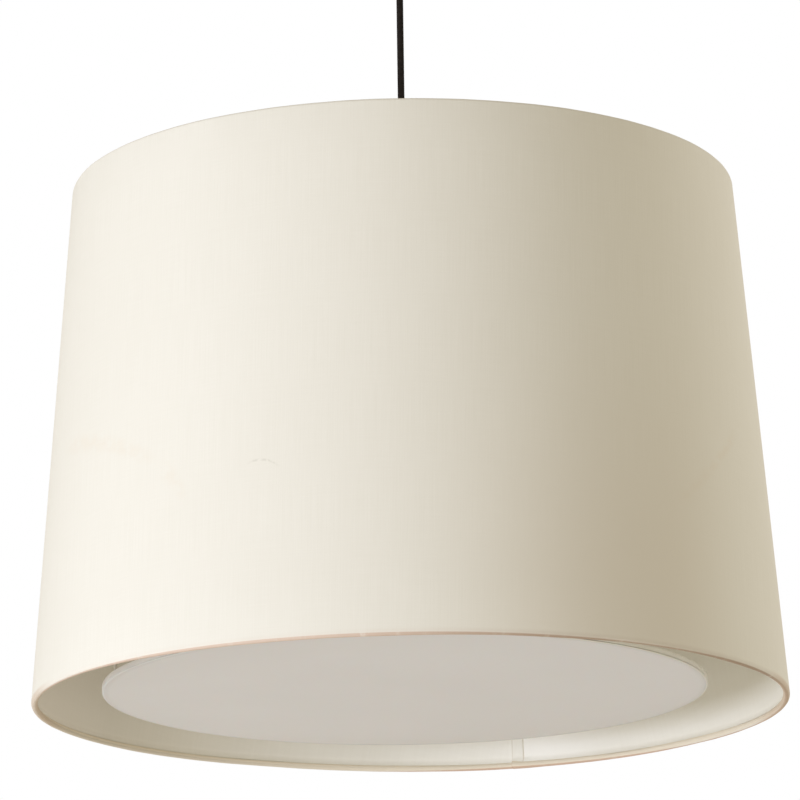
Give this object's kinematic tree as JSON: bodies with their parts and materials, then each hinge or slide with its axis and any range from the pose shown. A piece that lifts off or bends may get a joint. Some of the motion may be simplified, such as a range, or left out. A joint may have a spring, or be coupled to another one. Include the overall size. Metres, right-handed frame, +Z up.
{
  "type": "pendant light",
  "caption": "Tapered drum pendant light: fabric shade on a textile cord, lamps on a hub inside, and an opal diffuser disc hung in its open bottom.",
  "frame": {"origin": "centre of the ceiling bracket's top face, where it bears on the ceiling", "axes": "+Z up into the ceiling, along the cord; +X to the right and -Y towards the viewer of the picture"},
  "size_m": [0.6192, 0.6192, 0.6852],
  "materials": {
    "cream_fabric": "fine plain weave, matte",
    "white_lining": "satin film",
    "textile_cord": "braided, matte",
    "black_plastic": "satin",
    "black_paint": "matte powder coat",
    "zinc_steel": "zinc plated",
    "white_paint": "satin powder coat",
    "opal_acrylic": "satin opal",
    "white_nylon": "satin",
    "porcelain": "glazed",
    "cap_metal": "bright",
    "black_glass": "glossy",
    "opal_glass": "frosted inside"
  },
  "bodies": {
    "ceiling_set": {"ceiling_bracket": "zinc_steel", "ceiling_canopy": "black_paint", "canopy_screw_left": "black_paint", "canopy_screw_right": "black_paint", "ceiling_terminal_block": "white_nylon", "ceiling_cord_grip": "black_plastic", "ceiling_grip_nut": "zinc_steel", "cord_ceiling_tail": "textile_cord"},
    "cord": {"power_cord": "textile_cord"},
    "shade": {"lamp_cord_grip": "black_plastic", "cord_lamp_tail": "textile_cord", "top_ring": "white_paint", "top_spider": "white_paint", "bottom_ring": "white_paint", "shade_fabric": "cream_fabric", "shade_lining": "white_lining", "hub_housing": "white_paint", "hub_cover": "white_paint", "hub_nut": "zinc_steel", "hub_junction_block": "white_nylon", "lampholder_arm_1": "white_paint", "lampholder_arm_2": "white_paint", "lampholder_arm_3": "white_paint", "arm_nut_1": "zinc_steel", "arm_nut_2": "zinc_steel", "arm_nut_3": "zinc_steel", "lampholder_lead_1": "white_nylon", "lampholder_lead_2": "white_nylon", "lampholder_lead_3": "white_nylon", "lampholder_shell_1": "white_paint", "lampholder_shell_2": "white_paint", "lampholder_shell_3": "white_paint", "lampholder_insert_1": "porcelain", "lampholder_insert_2": "porcelain", "lampholder_insert_3": "porcelain", "hanger_rod_1": "zinc_steel", "hanger_rod_2": "zinc_steel", "hanger_rod_3": "zinc_steel", "hanger_nut_1": "zinc_steel", "hanger_nut_2": "zinc_steel", "hanger_nut_3": "zinc_steel"},
    "diffuser": {"diffuser_disc": "opal_acrylic", "diffuser_hoop": "white_paint", "diffuser_grommet_1": "white_nylon", "diffuser_grommet_2": "white_nylon", "diffuser_grommet_3": "white_nylon"},
    "lamp_1_contact": {"lamp_1_tip": "black_glass"},
    "lamp_2_contact": {"lamp_2_tip": "black_glass"},
    "lamp_3_contact": {"lamp_3_tip": "black_glass"},
    "lamp_1": {"lamp_1_cap": "cap_metal", "lamp_1_globe": "opal_glass"},
    "lamp_2": {"lamp_2_cap": "cap_metal", "lamp_2_globe": "opal_glass"},
    "lamp_3": {"lamp_3_cap": "cap_metal", "lamp_3_globe": "opal_glass"}
  },
  "joints": [
    {"name": "cord_swing", "type": "hinge", "parent": "ceiling_set", "child": "cord", "pos_m": [0, 0, -0.0663], "axis": [0, 1, 0], "range_deg": [-20, 20]},
    {"name": "shade_swing", "type": "hinge", "parent": "cord", "child": "shade", "pos_m": [0, 0, -0.2413], "axis": [1, 0, 0], "range_deg": [-12, 12]},
    {"name": "diffuser_drop", "type": "slide", "parent": "shade", "child": "diffuser", "axis": [0, 0, -1], "range_m": [0, 0.12]},
    {"name": "lamp_1_travel", "type": "slide", "parent": "shade", "child": "lamp_1_contact", "axis": [-0.1609, -0.6223, -0.766], "range_m": [0, 0.0199]},
    {"name": "lamp_2_travel", "type": "slide", "parent": "shade", "child": "lamp_2_contact", "axis": [0.6194, 0.1718, -0.766], "range_m": [0, 0.0199]},
    {"name": "lamp_3_travel", "type": "slide", "parent": "shade", "child": "lamp_3_contact", "axis": [-0.4585, 0.4505, -0.766], "range_m": [0, 0.0199]},
    {"name": "lamp_1_turn", "type": "hinge", "parent": "lamp_1_contact", "child": "lamp_1", "pos_m": [-0.0171, -0.06611, -0.29569], "axis": [-0.1609, -0.6223, -0.766], "range_deg": [0, 1980]},
    {"name": "lamp_2_turn", "type": "hinge", "parent": "lamp_2_contact", "child": "lamp_2", "pos_m": [0.06581, 0.01825, -0.29569], "axis": [0.6194, 0.1718, -0.766], "range_deg": [0, 1980]},
    {"name": "lamp_3_turn", "type": "hinge", "parent": "lamp_3_contact", "child": "lamp_3", "pos_m": [-0.04871, 0.04786, -0.29569], "axis": [-0.4585, 0.4505, -0.766], "range_deg": [0, 1980]}
  ],
  "couplings": [
    {"joint": "lamp_1_turn", "follows": "lamp_1_travel", "rad_per_m": 1730.9},
    {"joint": "lamp_2_turn", "follows": "lamp_2_travel", "rad_per_m": 1730.9},
    {"joint": "lamp_3_turn", "follows": "lamp_3_travel", "rad_per_m": 1730.9}
  ]
}
